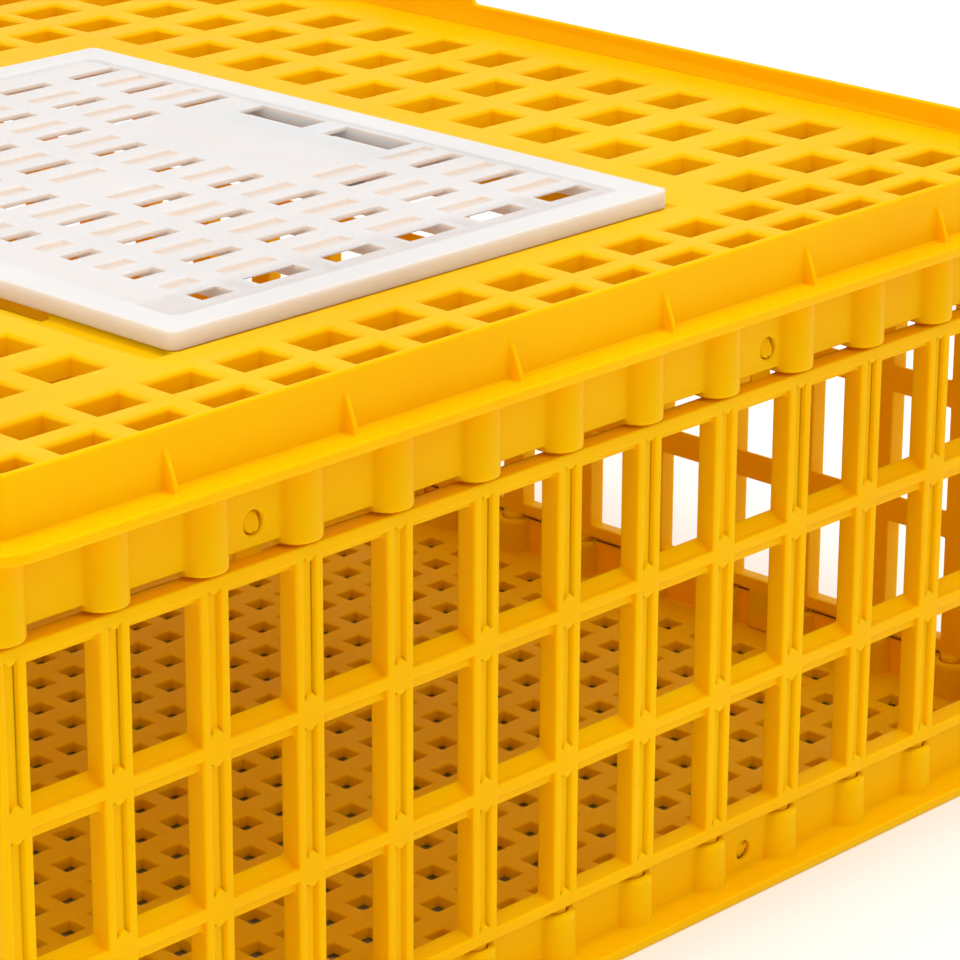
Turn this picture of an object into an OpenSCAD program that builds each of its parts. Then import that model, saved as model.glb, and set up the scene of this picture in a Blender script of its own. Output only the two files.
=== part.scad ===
// Knock-down poultry transport crate: tray base, four window panels that plug into
// it, a plug-on grid top with a raised rim, and a hinged white top door with a slide latch.
// X runs along the short ends, Y along the long sides, Z up. The origin is the middle
// of the underside.

/* [Side panels] */
// Distance from one post to the next
post_pitch = 41; // [38:0.5:46]
// Width of a post
post_w = 12; // [11:0.5:13]
// Bays between posts on the short end panels
end_bays = 13; // [10:1:16]
// Bays between posts on the long side panels
side_bays = 17; // [14:1:20]
// Depth of a window panel
panel_t = 8.4; // [8:0.2:10]
// Height of a window rung's front strip
rung_h = 4.6; // [4:0.2:6]
// Height of the middle of the lower rung
rung_z = 80.4; // [76:0.2:84]
// Distance from one rung to the next
rung_pitch = 55.6; // [52:0.2:58]
// Height of the underside of the bottom rail
rail_z = 24.5; // [24:0.1:26]
// Height of the bottom rail's front
bottom_rail_h = 4.7; // [4:0.1:6]
// Width of the groove down the front of each post
groove_w = 5; // [3:0.5:6]
// Depth of that groove
groove_deep = 1.8; // [1:0.2:3]

/* [Top panel] */
// Height of the rim's top edge
rim_z = 250; // [245:1:256]
// Depth of the grid's surface below the rim
grid_drop = 10; // [8:0.5:14]
// Thickness of the grid
grid_t = 8; // [6:0.5:10]
// Thickness of the upstanding rim
rim_t = 2.6; // [2:0.2:4]
// Reach of the stacking ledge beyond the posts
ledge_out = 14; // [11:0.5:16]
// Height of the stacking ledge's top
ledge_z = 229.3; // [228:0.1:231]
// Thickness of the stacking ledge
ledge_t = 4; // [3:0.5:5]
// Height of the apron's lower edge
apron_z = 197.7; // [196:0.5:200]
// Length of the raised lug in the middle of each long rim
lug_len = 56; // [40:2:80]
// Height of that lug above the rim
lug_h = 8; // [4:1:12]
// Distance between the gusset fins round the rim
fin_pitch = 76.3; // [72:0.1:80]

/* [Grid holes] */
// Row pitch of the grid along Y
row_pitch = 33.8; // [32:0.2:36]
// Column pitch of the strips before and behind the door
strip_pitch = 31.3; // [31:0.1:33]
// Column pitch of the right-hand block
block_pitch = 38; // [37:0.5:40]
// Hole of the strips, along X
strip_hole = 21; // [18:0.5:24]
// Hole of the right-hand block, along X
block_hole = 25; // [20:0.5:28]
// Hole size along Y
hole_y = 17.5; // [14:0.5:20]

/* [Door] */
// Width of the door, along X
door_w = 247.4; // [244:0.2:250]
// Length of the door, along Y
door_l = 322; // [318:1:326]
// Left edge of the door
door_x = -134; // [-136:0.5:-133]
// Front edge of the door, from the front posts
door_y = 74; // [74:0.5:78]
// Thickness of the door's border
door_t = 7; // [6:0.5:9]
// Width of the raised border
border_w = 13; // [12:0.5:14]
// Thickness of the slotted plate inside the border
field_t = 2.2; // [2:0.1:3]
// Column pitch of the slots
slot_pitch_x = 36.5; // [36:0.1:37]
// Row pitch of the through slots
slot_pitch_y = 32.8; // [32:0.2:33.6]
// Length of a slot
slot_len = 25; // [20:1:28]
// Width of a slot
slot_w = 7; // [5:0.5:8]
// Travel of the latch
latch_travel = 7; // [6:0.5:8]

/* [Base] */
// Thickness of the outer flange
flange_t = 4; // [3:0.5:6]
// Reach of the flange beyond the posts
flange_out = 9; // [7:0.5:11]
// Height of the wall that stands on the flange
wall_z = 23.5; // [22:0.5:24]
// Thickness of the floor grid
floor_t = 5; // [4:0.5:8]
// Column pitch of the floor's holes
floor_pitch_x = 17.8; // [17:0.1:18]
// Row pitch of the floor's holes
floor_pitch_y = 20.3; // [19:0.1:21]

/* [Hidden] */

crate_yellow = [1, 0.8, 0.05];
door_white = [0.95, 0.94, 0.92];
$fn = 40;
clear = 0.25;
eps = 0.01;

// Spans over the outer faces of the posts, and half of each
end_span = end_bays * post_pitch + post_w;
side_span = side_bays * post_pitch + post_w;
half_x = end_span / 2;
half_y = side_span / 2;
bay_w = post_pitch - post_w;

// Walls of the top's apron and of the base, set back behind the posts' front faces
wall_in = 4;
wall_t = 2.5;

// Sockets in the top, cups in the base, and the plugs of the window panels that fill them
socket_in = 6.6;
socket_r = 9;
socket_z = 195.5;
socket_top = 213.5;
cup_r = 8.3;
cup_z = 22.5;
cup_chamfer = 1.2;
cup_floor = 8;
floor_z = 2;
floor_start = [-241.6, -319];
floor_cols = 28;
floor_rows = 32;
floor_hole = [10, 9.5];
bore_r = 5.4;
plug_r = 5.1;

// Window panels: a rung is a front strip with a web behind it that slopes up at the back
rail_top_z = 194.2;
top_rail_h = 5.2;
top_web_z = 186.8;
rail_rise = 0.9;
web_in = 2.2;
shelf = 3;
rung_rise = 5.8;
rung_drop = 6.3;
rows = [0:2];
stile_w = 4;
groove_foot = 6;
groove_head = 4.5;
groove_end_r = 2.3;
groove_bulge = 1.3;

// Tie lugs of the side panels, which enter pockets in the corner posts
tie_d = 5;
tie_w = 5;
tie_l = 8;
tie_h = 12;
tie_reach = 4.5;
tie_up = 26;

// Snap tabs, their pegs and the holes that the pegs snap into
tab_w = 10.5;
tab_y = wall_in + wall_t + clear;
tab_t = panel_t - tab_y;
peg_low = 1.4;
peg_high = 3.9;
peg_play = 0.6;
top_hole_r = 4.2;
base_hole_r = 3.7;
top_peg_z = 206;
base_peg_z = 11.3;
top_end_snaps = [2, 8.14];
base_end_snaps = [2, 8];
side_snaps = [3, 8, 13];

// Top panel
grid_z = rim_z - grid_drop;
rim_out = 2.9;
rim_corner = 9;
fin_t = 2;
fin_h = 13.7;
fin_out = 5.5;
fin_shift = 22.5;
row_y = 68 - half_y;
strip_x = 118.8;
block_x = 148;
left_x = -182.6;
left_pitch = 34;
left_hole = 23;
left_y = 77.5 - half_y;
left_row_pitch = 32.5;

// Rows of the front strip: distance from the front posts, and hole size along Y
strip_rows = [[20, 12], [41.8, 14.5]];

// Door seat, opening and hinge
seat_drop = 1;
seat_z = grid_z - seat_drop;
seat_w = 8;
door_z = seat_z + clear;
door_top = door_z + door_t;
door_y0 = door_y - half_y;
door_y1 = door_y0 + door_l;
door_x1 = door_x + door_w;
door_mid = door_y0 + door_l / 2;
hinge_x = door_x - 6.8;
hinge_z = grid_z - 2.5;
hinge_ys = [door_mid - 39.5, door_mid + 39.5];
knuckle_r = 4.1;
hinge_boss_r = 4.4;
knuckle_l = 34;
boss_l = 8;
pin_r = 2;
run_gap = 0.06;
trough_z = grid_z - 3;
trough_x = [door_x - 12.5, door_x - 4, door_x + 0.5];
gap_x = [door_x - 3, door_x + 7];
gap_y = [door_mid - 98.5, door_mid + 98.5];

// Corners of the door, outside and inside its border
door_corner = 4;
field_corner = 4;

// Door field: through slots, shallow ones half-way between them, and ribs at their ends
field_top = door_top - 1.5;
first_slot_x = -72;
first_slot_y = 99.5 - half_y;
slot_cols = 6;
slot_rows = 9;
half_row = 15;
short_slot = 15;
front_slot_w = 8.7;
front_thin = 1.2;
front_strip = 14;
pocket_deep = 1.2;
rib_w = 2;
plate_x = 30;
plate_y = [door_mid - 44.5, door_mid + 57];
blank_at = [slot_x(2), first_slot_y + 4 * slot_pitch_y];
grip_x = 84.5;
grip_w = 14.5;
grip_l = 37;
grip_mid = door_mid;
grip_off = 24;

// Latch
latch_z = grid_z - grid_t - 0.3;
latch_t = 3;
latch_l = 96;
latch_x = 66;
latch_w = 38;
bolt_w = 26;
bolt_x1 = door_x1 - seat_w - 0.6;
guide_t = 3;
guide_lip = 1.6;
guide_top = field_top - field_t + 0.6;
pad_w = 6.6;
pad_x = grip_x + 0.5;
pad_play = 0.6;
pad_drop = 2.4;

// ---------- shared shapes ----------

// Rectangle with round corners, centred, given by its half sizes
module round_rect(hx, hy, r) {
    square([2 * hx, 2 * (hy - r)], center = true);
    square([2 * (hx - r), 2 * hy], center = true);
    for (sx = [-1, 1], sy = [-1, 1])
        translate([sx * (hx - r), sy * (hy - r)])
            circle(r);
}

// Ring that runs round the crate: its outer face lies out beyond the posts
module ring(out, thick, r) {
    difference() {
        round_rect(half_x + out, half_y + out, r);
        round_rect(half_x + out - thick, half_y + out - thick, max(r - thick, 1));
    }
}

// Places its children at every post, as seen from outside the side that it is in
module at_posts() {
    for (turn = [0, 180], k = [0:end_bays])
        rotate(turn)
            translate([-half_x + post_w / 2 + k * post_pitch, -half_y, 0])
                children();
    for (turn = [90, 270], k = [1:side_bays - 1])
        rotate(turn)
            translate([-half_y + post_w / 2 + k * post_pitch, -half_x, 0])
                children();
}

// Places its children at the middle of each bay that has a snap peg
module at_snaps(end_snaps) {
    for (turn = [0, 180], k = end_snaps)
        rotate(turn)
            translate([-half_x + post_w + k * post_pitch + bay_w / 2, -half_y, 0])
                children();
    for (turn = [90, 270], k = side_snaps)
        rotate(turn)
            translate([-half_y + post_w + k * post_pitch + bay_w / 2, -half_x, 0])
                children();
}

// Places its children at the foot of each gusset fin round the rim
module at_fins() {
    for (turn = [0, 180], k = [-3:3])
        rotate(turn)
            translate([fin_shift + k * fin_pitch, -half_y - rim_out, 0])
                children();
    for (turn = [90, 270], k = [-4:4])
        rotate(turn)
            translate([k * fin_pitch, -half_x - rim_out, 0])
                children();
}

// A grid of oblong holes: columns and rows count from the low corner
module holes(x0, nx, dx, y0, ny, dy, size_x, size_y) {
    for (i = [0:nx - 1], j = [0:ny - 1])
        translate([x0 + i * dx, y0 + j * dy])
            square([size_x, size_y]);
}

// ---------- window panels ----------

// Lower and upper end of the groove beside a row of windows
function groove_z0(row) = row == 0 ? rail_z + groove_foot : rung_z + (row - 1) * rung_pitch + rung_rise;
function groove_z1(row) = row == 2 ? rail_top_z - groove_head : rung_z + row * rung_pitch - groove_head;

// Bar along X from a profile given in depth and height
module bar(x0, x1) {
    translate([x0, 0, 0])
        rotate([90, 0, 90])
            linear_extrude(x1 - x0)
                children();
}

module bottom_rail_profile() {
    polygon([
        [0, rail_z], [panel_t, rail_z], [panel_t, rail_z + bottom_rail_h + rail_rise],
        [0, rail_z + bottom_rail_h]
    ]);
}

module top_rail_profile() {
    polygon([
        [0, rail_top_z - top_rail_h], [web_in, rail_top_z - top_rail_h], [web_in, top_web_z],
        [panel_t, top_web_z], [panel_t, rail_top_z], [0, rail_top_z]
    ]);
}

module rung_profile(z) {
    polygon([
        [0, z - rung_h / 2], [web_in, z - rung_h / 2], [web_in, z - rung_drop],
        [panel_t, z - rung_drop], [panel_t, z + rung_rise], [shelf, z + rung_h / 2],
        [0, z + rung_h / 2]
    ]);
}

// Groove down the front of a post, its ends closed by rounded bosses
module groove(z0, z1) {
    translate([0, groove_deep, 0])
        rotate([90, 0, 0])
            linear_extrude(groove_deep + 1)
                difference() {
                    translate([-groove_w / 2, z0])
                        square([groove_w, z1 - z0]);
                    for (z = [z0 + groove_bulge - groove_end_r, z1 - groove_bulge + groove_end_r])
                        translate([0, z])
                            circle(groove_end_r);
                }
}

// Tongue behind the wall with a wedge-faced peg that snaps into the wall's hole
module snap_tab(up, peg_z, peg_r) {
    foot = up ? rail_top_z - 2 : rail_z + 2;
    tip = up ? peg_z + 7 : peg_z - 4;
    translate([-tab_w / 2, tab_y, min(foot, tip)])
        cube([tab_w, tab_t, abs(tip - foot)]);
    intersection() {
        translate([0, tab_y + eps, peg_z])
            rotate([90, 0, 0])
                cylinder(r = peg_r, h = wall_t + 0.4);
        translate([0, tab_y + 1, peg_z - peg_r])
            bar(-peg_r, peg_r)
                polygon([
                    [0, 0], [up ? -peg_high : -peg_low, 0],
                    [up ? -peg_low : -peg_high, 2 * peg_r], [0, 2 * peg_r]
                ]);
    }
}

// A whole window panel, its front face on the plane Y = 0 and facing -Y
module window_panel(bays, stiles, top_snaps, base_snaps) {
    span = bays * post_pitch + post_w;
    rail_x = stiles ? span / 2 - post_w - clear : span / 2 - post_w + 1;
    end_w = stiles ? stile_w : post_w;
    end_t = stiles ? panel_t : post_w;
    end_x = stiles ? rail_x : span / 2;
    tie_x = span / 2 - post_w + tie_reach - tie_l / 2;
    difference() {
        union() {
            bar(-rail_x, rail_x)
                bottom_rail_profile();
            bar(-rail_x, rail_x)
                top_rail_profile();
            for (z = [rung_z, rung_z + rung_pitch])
                bar(-rail_x, rail_x)
                    rung_profile(z);
            for (k = [1:bays - 1])
                translate([-span / 2 + k * post_pitch, 0, rail_z])
                    cube([post_w, panel_t, rail_top_z - rail_z]);
            for (x = [-end_x, end_x - end_w])
                translate([x, 0, rail_z])
                    cube([end_w, end_t, rail_top_z - rail_z]);
        }
        for (k = stiles ? [1:bays - 1] : [0:bays], row = rows)
            translate([-span / 2 + post_w / 2 + k * post_pitch, 0, 0])
                groove(groove_z0(row), groove_z1(row));
        if (!stiles)
            for (side = [-1, 1], row = rows)
                translate([side * (span / 2 - panel_t / 2), post_w - tie_d / 2, groove_z0(row) + tie_up])
                    cube([tie_w + 2 * clear, tie_d + 2 * clear, tie_h + 2 * clear], center = true);
    }
    for (k = stiles ? [1:bays - 1] : [0:bays])
        translate([-span / 2 + post_w / 2 + k * post_pitch, socket_in, 0]) {
            translate([0, 0, rail_top_z - eps])
                cylinder(r = plug_r, h = socket_top - rail_top_z + eps);
            translate([0, 0, cup_floor])
                cylinder(r = plug_r, h = rail_z - cup_floor + eps);
        }
    for (k = top_snaps)
        translate([-span / 2 + post_w + k * post_pitch + bay_w / 2, 0, 0])
            snap_tab(true, top_peg_z, top_hole_r - peg_play);
    for (k = base_snaps)
        translate([-span / 2 + post_w + k * post_pitch + bay_w / 2, 0, 0])
            snap_tab(false, base_peg_z, base_hole_r - peg_play);
    if (stiles)
        for (side = [-1, 1], row = rows)
            translate([side * tie_x, panel_t / 2, groove_z0(row) + tie_up])
                cube([tie_l, tie_w, tie_h], center = true);
}

module front_end_panel() {
    color(crate_yellow)
        translate([0, -half_y, 0])
            window_panel(end_bays, false, top_end_snaps, base_end_snaps);
}

module back_end_panel() {
    color(crate_yellow)
        rotate(180)
            translate([0, -half_y, 0])
                window_panel(end_bays, false, top_end_snaps, base_end_snaps);
}

module left_side_panel() {
    color(crate_yellow)
        rotate(270)
            translate([0, -half_x, 0])
                window_panel(side_bays, true, side_snaps, side_snaps);
}

module right_side_panel() {
    color(crate_yellow)
        rotate(90)
            translate([0, -half_x, 0])
                window_panel(side_bays, true, side_snaps, side_snaps);
}

// ---------- base ----------

// Floor grid: a dense lattice of small holes
module floor_outline() {
    difference() {
        round_rect(half_x - wall_in - 1, half_y - wall_in - 1, 4);
        holes(floor_start[0], floor_cols, floor_pitch_x, floor_start[1], floor_rows, floor_pitch_y,
              floor_hole[0], floor_hole[1]);
    }
}

// Cup that takes a panel's plug: it tapers a little and its mouth is chamfered
module cup() {
    cylinder(r1 = socket_r, r2 = cup_r, h = cup_z - cup_chamfer);
    translate([0, 0, cup_z - cup_chamfer])
        cylinder(r1 = cup_r, r2 = cup_r - cup_chamfer, h = cup_chamfer);
}

module base_panel() {
    color(crate_yellow)
        difference() {
            union() {
                linear_extrude(flange_t)
                    ring(flange_out, flange_out + wall_in + wall_t, rim_corner + 5);
                linear_extrude(wall_z)
                    ring(-wall_in, wall_t, 4);
                translate([0, 0, floor_z])
                    linear_extrude(floor_t)
                        floor_outline();
                at_posts()
                    translate([0, socket_in, 0])
                        cup();
            }
            at_posts()
                translate([0, socket_in, cup_floor])
                    cylinder(r = bore_r, h = wall_z);
            at_snaps(base_end_snaps)
                translate([0, wall_in + wall_t + 1, base_peg_z])
                    rotate([90, 0, 0])
                        cylinder(r = base_hole_r, h = wall_t + 2);
        }
}

// ---------- top ----------

// Every hole of the top grid, round the door's place
module top_holes() {
    n_strip = 13;
    strip_x0 = strip_x - (n_strip - 1) * strip_pitch;
    far_row = 11;
    n_rows = 19;
    for (row = strip_rows) {
        holes(strip_x0, n_strip, strip_pitch, row[0] - half_y, 1, row_pitch, strip_hole, row[1]);
        holes(block_x, 3, block_pitch, row[0] - half_y, 1, row_pitch, block_hole, row[1]);
    }
    holes(block_x, 3, block_pitch, row_y, n_rows, row_pitch, block_hole, hole_y);
    holes(strip_x0, n_strip, strip_pitch, row_y + far_row * row_pitch, n_rows - far_row,
          row_pitch, strip_hole, hole_y);
    holes(left_x - 2 * left_pitch, 3, left_pitch, left_y, 11, left_row_pitch, left_hole, hole_y);
}

// Cross-section of the trough beside the door's hinge, which slopes up to the grid
module trough_section() {
    polygon([
        [trough_x[0], grid_z], [trough_x[1], trough_z], [trough_x[2], trough_z],
        [trough_x[2], grid_z + 1], [trough_x[0], grid_z + 1]
    ]);
}

// Raised stacking lug, with sloping ends, in the middle of a long rim
module rim_lug() {
    translate([0, -half_x - rim_out + rim_t, 0])
        rotate([90, 0, 0])
            linear_extrude(rim_t)
                polygon([
                    [-lug_len / 2, rim_z - 3], [lug_len / 2, rim_z - 3], [lug_len / 2, rim_z],
                    [lug_len / 2 - 6, rim_z + lug_h], [-lug_len / 2 + 6, rim_z + lug_h],
                    [-lug_len / 2, rim_z]
                ]);
}

// Ears that hold a hinge pin at the ends of its slot
module hinge_ears() {
    for (y = hinge_ys, side = [-1, 1])
        translate([hinge_x, y + side * (knuckle_l / 2 + boss_l / 2 + 0.5), 0]) {
            translate([0, 0, hinge_z])
                rotate([90, 0, 0])
                    cylinder(r = hinge_boss_r, h = boss_l, center = true);
            translate([-hinge_boss_r, -boss_l / 2, grid_z - grid_t - 1])
                cube([2 * hinge_boss_r, boss_l, hinge_z - grid_z + grid_t + 1]);
        }
}

module top_panel() {
    slot_l = knuckle_l + 1;
    color(crate_yellow)
        difference() {
            union() {
                difference() {
                    translate([0, 0, grid_z - grid_t])
                        linear_extrude(grid_t)
                            difference() {
                                round_rect(half_x + 1.5, half_y + 1.5, rim_corner);
                                top_holes();
                                translate([door_x + seat_w, door_y0 + seat_w])
                                    square([door_w - 2 * seat_w, door_l - 2 * seat_w]);
                            }
                    translate([door_x, door_y0 - 1, seat_z])
                        cube([door_w + 1, door_l + 2, seat_drop + 1]);
                    translate([0, door_y1 + 1, 0])
                        rotate([90, 0, 0])
                            linear_extrude(door_l + 2)
                                trough_section();
                    translate([gap_x[0], gap_y[0], grid_z - grid_t - 1])
                        cube([gap_x[1] - gap_x[0], gap_y[1] - gap_y[0], grid_t + 2]);
                    for (y = hinge_ys)
                        translate([hinge_x - 8, y - slot_l / 2, grid_z - grid_t - 1])
                            cube([16, slot_l, grid_t + 2]);
                }
                hinge_ears();
                translate([0, 0, ledge_z - ledge_t])
                    linear_extrude(rim_z - ledge_z + ledge_t)
                        ring(rim_out, rim_t, rim_corner);
                translate([0, 0, ledge_z - ledge_t])
                    linear_extrude(ledge_t)
                        ring(ledge_out, ledge_out + wall_in + wall_t, rim_corner + 11);
                translate([0, 0, apron_z])
                    linear_extrude(ledge_z - apron_z - 1)
                        ring(-wall_in, wall_t, 4);
                at_posts()
                    translate([0, socket_in, socket_z])
                        cylinder(r = socket_r, h = ledge_z - socket_z - 1);
                at_fins()
                    rotate([90, 0, 90])
                        translate([0, 0, -fin_t / 2])
                            linear_extrude(fin_t)
                                polygon([
                                    [0.5, ledge_z - 1], [-fin_out, ledge_z - 1], [-fin_out, ledge_z],
                                    [-0.8 * fin_out, ledge_z + 0.3 * fin_h],
                                    [-0.4 * fin_out, ledge_z + 0.7 * fin_h],
                                    [0, ledge_z + fin_h], [0.5, ledge_z + fin_h]
                                ]);
                for (turn = [90, 270])
                    rotate(turn)
                        rim_lug();
            }
            at_posts()
                translate([0, socket_in, socket_z - 1])
                    cylinder(r = bore_r, h = socket_top - socket_z + 1);
            at_snaps(top_end_snaps)
                translate([0, wall_in + wall_t + 1, top_peg_z])
                    rotate([90, 0, 0])
                        cylinder(r = top_hole_r, h = wall_t + 2);
            for (y = hinge_ys)
                translate([hinge_x, y, hinge_z])
                    rotate([90, 0, 0])
                        cylinder(r = pin_r, h = knuckle_l + 2 * boss_l + 3, center = true);
        }
}

// ---------- door ----------

// Columns of slots: a short one by the hinge, then long ones
function slot_x(i) = first_slot_x + (i - 1) * slot_pitch_x + slot_len - slot_size(i);
function slot_size(i) = i == 0 ? short_slot : slot_len;

// True where the plain plate over the latch, or the one blank, takes a slot's place
function plain(x, y) = (x > plate_x && y > plate_y[0] && y < plate_y[1])
    || norm([x, y] - blank_at) < slot_w;

module slot_row(y, w) {
    for (i = [0:slot_cols - 1])
        if (!plain(slot_x(i), y))
            translate([slot_x(i), y])
                square([slot_size(i), w]);
}

// Slotted plate inside the border, with ribs under it along both ends of every slot
module door_field() {
    x0 = door_x + border_w - 1;
    y0 = door_y0 + border_w - 1;
    w = door_w - 2 * border_w + 2;
    l = door_l - 2 * border_w + 2;
    difference() {
        translate([x0, y0, field_top - field_t])
            cube([w, l, field_t]);
        translate([x0 + 1, y0 + 1, field_top - field_t - 1])
            cube([w - 2, front_slot_w + front_strip, front_thin + 1]);
        translate([0, 0, field_top - field_t - 1])
            linear_extrude(field_t + 2)
                for (j = [0:slot_rows - 1])
                    slot_row(first_slot_y + j * slot_pitch_y - (j == 0 ? front_slot_w - slot_w : 0),
                             j == 0 ? front_slot_w : slot_w);
        translate([0, 0, field_top - pocket_deep])
            linear_extrude(pocket_deep + 1)
                for (j = [0:slot_rows - 2])
                    slot_row(first_slot_y + half_row + j * slot_pitch_y, slot_w);
        for (side = [-1, 1])
            translate([grip_x, grip_mid + side * grip_off - grip_l / 2, field_top - field_t - 1])
                cube([grip_w, grip_l, field_t + 2]);
    }
    for (i = [0:slot_cols - 1], x = [slot_x(i) - rib_w, slot_x(i) + slot_size(i)])
        translate([x, y0, door_z])
            cube([rib_w, l, field_top - door_z - 0.5]);
}

// Guides under the door: two channels that hold the latch plate
module latch_guides() {
    for (side = [-1, 1])
        translate([latch_x, grip_mid, 0])
            scale([1, side, 1])
                rotate([90, 0, 90])
                    linear_extrude(latch_w)
                        polygon([
                            [latch_l / 2 + clear, guide_top],
                            [latch_l / 2 + clear, latch_z + clear + guide_lip],
                            [latch_l / 2 - guide_t, latch_z + clear + guide_lip],
                            [latch_l / 2 - guide_t, latch_z + clear],
                            [latch_l / 2 + clear, latch_z + clear],
                            [latch_l / 2 + clear, latch_z - latch_t - clear],
                            [latch_l / 2 - guide_t, latch_z - latch_t - clear],
                            [latch_l / 2 - guide_t, latch_z - latch_t - clear - guide_lip],
                            [latch_l / 2 + guide_t, latch_z - latch_t - clear - guide_lip],
                            [latch_l / 2 + guide_t, guide_top]
                        ]);
}

module top_door() {
    color(door_white)
        difference() {
            union() {
                translate([door_x + door_w / 2, door_y0 + door_l / 2, door_z])
                    linear_extrude(door_t)
                        difference() {
                            round_rect(door_w / 2, door_l / 2, door_corner);
                            round_rect(door_w / 2 - border_w, door_l / 2 - border_w, field_corner);
                        }
                door_field();
                for (y = hinge_ys) {
                    translate([hinge_x, y, hinge_z])
                        rotate([90, 0, 0])
                            cylinder(r = knuckle_r, h = knuckle_l, center = true);
                    translate([hinge_x, y - knuckle_l / 2, hinge_z - 1])
                        cube([door_x - hinge_x + 6, knuckle_l, knuckle_r + 1]);
                }
                latch_guides();
            }
            for (y = hinge_ys)
                translate([hinge_x, y, hinge_z])
                    rotate([90, 0, 0])
                        cylinder(r = pin_r + run_gap, h = knuckle_l + 2, center = true);
        }
}

module door_latch() {
    color(door_white)
        union() {
            translate([latch_x + 1, grip_mid - latch_l / 2, latch_z - latch_t])
                cube([latch_w - latch_travel - 2, latch_l, latch_t]);
            translate([latch_x + latch_w / 2, grip_mid - bolt_w / 2, latch_z - latch_t])
                cube([bolt_x1 - latch_x - latch_w / 2, bolt_w, latch_t]);
            for (side = [-1, 1])
                translate([pad_x, grip_mid + side * grip_off - grip_l / 2 + pad_play, latch_z - 1])
                    cube([pad_w, grip_l - 2 * pad_play, field_top - pad_drop - latch_z + 1]);
        }
}

module hinge_pin(y) {
    color(door_white)
        translate([hinge_x, y, hinge_z])
            rotate([90, 0, 0])
                cylinder(r = pin_r, h = knuckle_l + 2 * boss_l + 1, center = true);
}

module front_hinge_pin() {
    hinge_pin(hinge_ys[0]);
}

module back_hinge_pin() {
    hinge_pin(hinge_ys[1]);
}

base_panel();
front_end_panel();
back_end_panel();
left_side_panel();
right_side_panel();
top_panel();
top_door();
door_latch();
front_hinge_pin();
back_hinge_pin();
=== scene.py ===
"""Looks of the poultry transport crate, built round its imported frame."""

import math

import bmesh
import bpy
from mathutils import Matrix, Vector


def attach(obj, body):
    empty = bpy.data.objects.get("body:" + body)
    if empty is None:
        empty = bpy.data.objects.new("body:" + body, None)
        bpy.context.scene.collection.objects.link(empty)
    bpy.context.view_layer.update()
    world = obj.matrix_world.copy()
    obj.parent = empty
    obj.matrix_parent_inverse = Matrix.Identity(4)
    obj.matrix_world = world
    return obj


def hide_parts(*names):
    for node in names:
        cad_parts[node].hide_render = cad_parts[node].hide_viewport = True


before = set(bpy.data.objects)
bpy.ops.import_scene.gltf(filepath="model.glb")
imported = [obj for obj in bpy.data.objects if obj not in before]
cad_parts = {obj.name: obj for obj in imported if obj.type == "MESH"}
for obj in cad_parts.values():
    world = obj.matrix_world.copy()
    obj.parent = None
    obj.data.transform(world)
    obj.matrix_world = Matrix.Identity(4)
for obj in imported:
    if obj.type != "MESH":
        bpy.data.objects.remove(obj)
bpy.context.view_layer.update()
MM = 0.001

# ---------------------------------------------------------------- sizes, in millimetres
# Outer faces of the posts, from the middle
HALF_X = 272.5
HALF_Y = 354.5
# Top grid: its surface, and how far inside the posts' faces its holes stay
GRID_Z = 240.0
RIM_IN = 6.0
# Upper edge of the upstanding rim
RIM_Z = 250.0
# Door: middle of the slotted field on the ground plan, its half size and its surface
DOOR_MID = (-10.3, -119.5)
FIELD_HALF = (111.0, 148.0)
FIELD_TOP = 244.75

# Rounding of the moulded edges
GRID_EDGE = 2.0
RIM_EDGE = 1.15
YELLOW_EDGE = 0.8
WHITE_EDGE = 0.55
PIN_EDGE = 0.4
# Band round the grid's surface where only the wide rounding is made
GRID_BELOW = 3.2
GRID_ABOVE = 1.0
RIM_BAND = 1.5
NEAR = 1e-5

# Angles between faces: an edge to round, a flat join, and a crease that stays sharp
SHARP = math.radians(28)
FLAT = math.radians(0.5)
CREASE = math.radians(50)

# Painted glow of the floor outside the crate's footprint, and the painted yellow light that shines
# through the door's plate where it is thin
PAINTED_FLOOR_GLOW = 0.08
SHINE_THROUGH_TINT = (0.8, 0.67, 0.57)
FLOOR_HALF = 30


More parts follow.
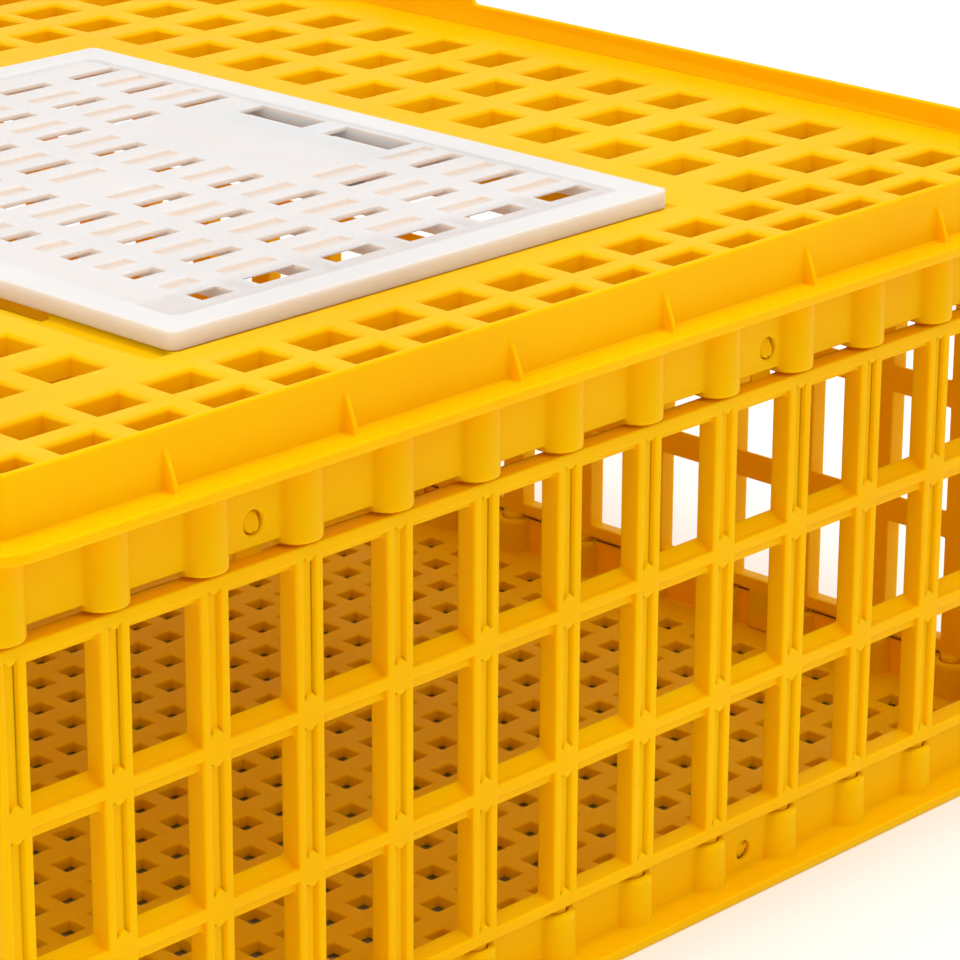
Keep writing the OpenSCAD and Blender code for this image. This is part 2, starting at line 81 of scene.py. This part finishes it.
# ---------------------------------------------------------------- materials
class Nodes:
    """Small helper that wires one material's node tree."""

    def __init__(self, name):
        self.mat = bpy.data.materials.new(name)
        self.mat.use_nodes = True
        self.tree = self.mat.node_tree
        self.shader = self.tree.nodes["Principled BSDF"]
        self.place = self.add("ShaderNodeTexCoord").outputs["Object"]

    def add(self, kind, **values):
        node = self.tree.nodes.new(kind)
        for key, value in values.items():
            setattr(node, key, value)
        return node

    def link(self, out, into):
        self.tree.links.new(out, into)

    def noise(self, scale, detail=2.0, rough=0.5, stretch=None):
        place = self.place
        if stretch:
            mapping = self.add("ShaderNodeMapping")
            mapping.inputs["Scale"].default_value = stretch
            self.link(place, mapping.inputs["Vector"])
            place = mapping.outputs["Vector"]
        node = self.add("ShaderNodeTexNoise")
        node.inputs["Scale"].default_value = scale
        node.inputs["Detail"].default_value = detail
        node.inputs["Roughness"].default_value = rough
        self.link(place, node.inputs["Vector"])
        return node.outputs["Fac"]

    def ramp(self, value, stops):
        node = self.add("ShaderNodeValToRGB")
        first, last = node.color_ramp.elements
        first.position, first.color = stops[0][0], (*stops[0][1], 1)
        last.position, last.color = stops[-1][0], (*stops[-1][1], 1)
        for at, colour in stops[1:-1]:
            node.color_ramp.elements.new(at).color = (*colour, 1)
        self.link(value, node.inputs["Fac"])
        return node.outputs["Color"]

    def axes(self, vector):
        node = self.add("ShaderNodeSeparateXYZ")
        self.link(vector, node.inputs["Vector"])
        return node.outputs

    def math(self, operation, first, second=0.0):
        """One sum of a value with another value or a plain number."""
        node = self.add("ShaderNodeMath", operation=operation)
        self.link(first, node.inputs[0])
        if isinstance(second, float):
            node.inputs[1].default_value = second
        else:
            self.link(second, node.inputs[1])
        return node.outputs["Value"]

    def span(self, value, low, high, from_low=0.3, from_high=0.7):
        node = self.add("ShaderNodeMapRange")
        node.inputs["From Min"].default_value = from_low
        node.inputs["From Max"].default_value = from_high
        node.inputs["To Min"].default_value = low
        node.inputs["To Max"].default_value = high
        self.link(value, node.inputs["Value"])
        return node.outputs["Result"]

    def bump(self, height, strength, distance, before=None):
        node = self.add("ShaderNodeBump")
        node.inputs["Strength"].default_value = strength
        node.inputs["Distance"].default_value = distance
        self.link(height, node.inputs["Height"])
        if before:
            self.link(before, node.inputs["Normal"])
        return node.outputs["Normal"]


def past_box(n, middle, half):
    """Distance outside a box on the ground plan, in metres, negative inside it."""
    place = n.axes(n.place)
    past_x, past_y = (
        n.math("SUBTRACT", n.math("ABSOLUTE", n.math("SUBTRACT", place[axis], centre * MM)), size * MM)
        for axis, centre, size in zip("XY", middle, half)
    )
    return n.math("MAXIMUM", past_x, past_y)


def paint_shine_through(n, colour):
    """Paints yellow light shining through the thin parts of the door's slotted field, seen from above:
    a painted glow from the yellow behind, not the plastic's own colour.
    """
    height = n.axes(n.place)["Z"]
    facing = n.axes(n.add("ShaderNodeTexCoord").outputs["Normal"])["Z"]
    share = n.span(height, 1.0, 0.0, (FIELD_TOP - 0.6) * MM, (FIELD_TOP - 0.2) * MM)
    for factor in (
        n.span(past_box(n, DOOR_MID, FIELD_HALF), 1.0, 0.0, -0.002, 0.0),
        n.span(height, 0.0, 1.0, (FIELD_TOP - 1.75) * MM, (FIELD_TOP - 1.5) * MM),
        n.span(facing, 0.0, 1.0, -0.6, -0.3),
    ):
        share = n.math("MULTIPLY", share, factor)
    mix = n.add("ShaderNodeMix", data_type="RGBA")
    n.link(share, mix.inputs["Factor"])
    n.link(colour, mix.inputs["A"])
    mix.inputs["B"].default_value = (*SHINE_THROUGH_TINT, 1)
    return mix.outputs["Result"]


def moulded(name, deep, mid, pale, rough, soft, radius, reach, gloss, sheen, painted_shine_through=False):
    """Moulded polyethylene: a cloudy colour, a matt grain, faint flow streaks and fine scuffs."""
    n = Nodes(name)
    cloud = n.noise(9.0, 3.0, 0.55)
    colour = n.ramp(cloud, [(0.3, deep), (0.5, mid), (0.72, pale)])
    # Where asked, painted yellow light shining through the door's thin pockets is mixed into the base
    # colour
    n.link(paint_shine_through(n, colour) if painted_shine_through else colour, n.shader.inputs["Base Color"])
    patches = n.noise(45.0, 3.0, 0.6)
    n.link(n.span(patches, rough - 0.06, rough + 0.09), n.shader.inputs["Roughness"])
    streak = n.noise(60.0, 2.0, 0.5, stretch=(0.35, 1.0, 2.2))
    grain = n.noise(2600.0, 2.0, 0.6)
    wave = n.bump(streak, 0.25, 0.0004)
    n.link(n.bump(grain, 0.12, 0.00006, wave), n.shader.inputs["Normal"])
    n.shader.inputs["Specular IOR Level"].default_value = gloss
    n.shader.inputs["Specular Tint"].default_value = (*sheen, 1)
    n.shader.inputs["Subsurface Weight"].default_value = soft
    n.shader.inputs["Subsurface Radius"].default_value = radius
    n.shader.inputs["Subsurface Scale"].default_value = reach * MM
    return n.mat


YELLOW = moulded(
    "yellow_hdpe", (0.92, 0.465, 0.0003), (0.95, 0.495, 0.0004), (0.98, 0.525, 0.0006),
    rough=0.4, soft=0.5, radius=(1.0, 0.36, 0.01), reach=7.0, gloss=0.06, sheen=(1.0, 0.8, 0.1),
)
# The door's white plastic, with painted yellow light shining through its thin pockets
WHITE = moulded(
    "white_pe", (0.7, 0.685, 0.672), (0.73, 0.716, 0.705), (0.76, 0.747, 0.738),
    rough=0.45, soft=0.8, radius=(1.0, 0.93, 0.86), reach=10.0, gloss=0.2, sheen=(1.0, 0.98, 0.96),
    painted_shine_through=True,
)


# ---------------------------------------------------------------- moulded pieces
def grid_edge(a, b):
    """True for the upper edge of a hole in the top grid."""
    level = max(abs(a.z - GRID_Z * MM), abs(b.z - GRID_Z * MM)) < NEAR
    return level and max(abs(a.y), abs(b.y)) < (HALF_Y - RIM_IN) * MM


def near_grid(a, b):
    """True close to the grid's surface, where the wide rounding has already been."""
    return GRID_Z - GRID_BELOW < (a.z + b.z) / 2 / MM < GRID_Z + GRID_ABOVE


def rim_edge(a, b):
    """True for the upper edges of the rim and of its lugs."""
    return min(a.z, b.z) > (RIM_Z - 0.1) * MM


def other_edge(a, b):
    """True for the top's edges that neither the grid's nor the rim's rounding has reached."""
    return not near_grid(a, b) and max(a.z, b.z) < (RIM_Z - RIM_BAND) * MM


def round_edges(bm, width, segments, wanted):
    """Rounds the sharp edges whose two ends are wanted."""
    edges = [
        e for e in bm.edges
        if e.is_manifold and e.calc_face_angle(0) > SHARP
        and wanted(e.verts[0].co, e.verts[1].co)
    ]
    bmesh.ops.bevel(
        bm, geom=edges, offset=width * MM, offset_type="OFFSET", segments=segments, profile=0.5,
        affect="EDGES", clamp_overlap=False, miter_outer="SHARP", miter_inner="SHARP",
    )


def piece(name, node, body, material, width, wide=None):
    """A node's exact shape with the rounded edges that a mould leaves."""
    bm = bmesh.new()
    bm.from_mesh(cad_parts[node].data)
    bmesh.ops.remove_doubles(bm, verts=bm.verts, dist=1e-6)
    bmesh.ops.dissolve_limit(bm, angle_limit=FLAT, verts=bm.verts, edges=bm.edges)
    many_sided = [f for f in bm.faces if len(f.verts) > 4]
    bmesh.ops.triangulate(bm, faces=many_sided, quad_method="BEAUTY", ngon_method="BEAUTY")
    if wide:
        round_edges(bm, wide, 3, grid_edge)
        round_edges(bm, RIM_EDGE, 3, rim_edge)
        round_edges(bm, width, 2, other_edge)
    else:
        round_edges(bm, width, 2, lambda a, b: True)
    mesh = bpy.data.meshes.new(name)
    bm.to_mesh(mesh)
    bm.free()
    mesh.materials.append(material)
    for face in mesh.polygons:
        face.use_smooth = True
    mesh.set_sharp_from_angle(angle=CREASE)
    obj = bpy.data.objects.new(name, mesh)
    bpy.context.scene.collection.objects.link(obj)
    normals = obj.modifiers.new("even_faces", "WEIGHTED_NORMAL")
    normals.keep_sharp = True
    normals.weight = 90
    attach(obj, body)
    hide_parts(node)


piece("tray_base", "base_panel", "crate", YELLOW, YELLOW_EDGE)
piece("front_window_panel", "front_end_panel", "crate", YELLOW, YELLOW_EDGE)
piece("back_window_panel", "back_end_panel", "crate", YELLOW, YELLOW_EDGE)
piece("left_window_panel", "left_side_panel", "crate", YELLOW, YELLOW_EDGE)
piece("right_window_panel", "right_side_panel", "crate", YELLOW, YELLOW_EDGE)
piece("grid_top", "top_panel", "crate", YELLOW, YELLOW_EDGE, wide=GRID_EDGE)
piece("slotted_door", "top_door", "door", WHITE, WHITE_EDGE)
piece("slide_latch", "door_latch", "latch", WHITE, WHITE_EDGE)
piece("front_pin", "front_hinge_pin", "crate", WHITE, PIN_EDGE)
piece("back_pin", "back_hinge_pin", "crate", WHITE, PIN_EDGE)


# ---------------------------------------------------------------- stage
def lamp(name, place, aim, size, watts):
    """A soft rectangular lamp at a place, aimed at a point."""
    data = bpy.data.lights.new(name, "AREA")
    data.shape = "RECTANGLE"
    data.size, data.size_y = size
    data.energy = watts
    obj = bpy.data.objects.new(name, data)
    bpy.context.scene.collection.objects.link(obj)
    obj.location = place
    obj.rotation_euler = (Vector(aim) - Vector(place)).to_track_quat("-Z", "Y").to_euler()


def stage():
    """White floor with a painted glow round the crate, a white world as fill, and two soft lamps."""
    mesh = bpy.data.meshes.new("floor")
    corners = [(x * FLOOR_HALF, y * FLOOR_HALF, 0) for x, y in ((-1, -1), (1, -1), (1, 1), (-1, 1))]
    mesh.from_pydata(corners, [], [(0, 1, 2, 3)])
    floor = bpy.data.objects.new("floor", mesh)
    bpy.context.scene.collection.objects.link(floor)
    n = Nodes("pale_floor")
    n.link(n.ramp(n.noise(3.0), [(0.3, (0.93, 0.93, 0.93)), (0.7, (0.95, 0.95, 0.95))]),
           n.shader.inputs["Base Color"])
    n.shader.inputs["Roughness"].default_value = 0.9
    n.shader.inputs["Emission Color"].default_value = (1, 1, 1, 1)
    # Painted glow: the floor emits light only outside the crate's footprint, so the ground under the
    # crate stays darker, as painted shade
    glow = n.span(past_box(n, (0, 0), (HALF_X, HALF_Y)), 0.0, PAINTED_FLOOR_GLOW, -0.01, 0.03)
    n.link(glow, n.shader.inputs["Emission Strength"])
    n.shader.inputs["Specular IOR Level"].default_value = 0.0
    floor.data.materials.append(n.mat)
    world = bpy.data.worlds.new("studio")
    world.use_nodes = True
    tree = world.node_tree
    fill = tree.nodes["Background"]
    fill.inputs["Color"].default_value = (1.0, 0.99, 0.98, 1)
    fill.inputs["Strength"].default_value = 0.75
    bpy.context.scene.world = world
    lamp("overhead", (-0.3, -0.6, 3.0), (0, -0.1, 0.1), (2.4, 2.0), 46)
    lamp("front_key", (0.9, -3.0, 2.2), (0, -0.2, 0.15), (1.6, 1.2), 5)


def camera():
    """The photograph's angle: a long lens from above the front left corner."""
    azimuth, elevation, roll = math.radians(46.434), math.radians(19.578), math.radians(0.267)
    target = Vector((-65.4, -HALF_Y, 196.14)) * MM
    distance = 1308.5 * MM
    ahead = Vector((
        math.sin(azimuth) * math.cos(elevation),
        math.cos(azimuth) * math.cos(elevation),
        -math.sin(elevation),
    ))
    cam = bpy.data.cameras.new("camera")
    cam.lens = 148.5
    cam.sensor_width = 36
    obj = bpy.data.objects.new("camera", cam)
    bpy.context.scene.collection.objects.link(obj)
    place = Matrix.Translation(target - ahead * distance)
    turn = ahead.to_track_quat("-Z", "Y").to_matrix().to_4x4()
    obj.matrix_world = place @ turn @ Matrix.Rotation(roll, 4, "Z")
    bpy.context.scene.camera = obj


bpy.context.scene.view_settings.view_transform = "Standard"
stage()
camera()
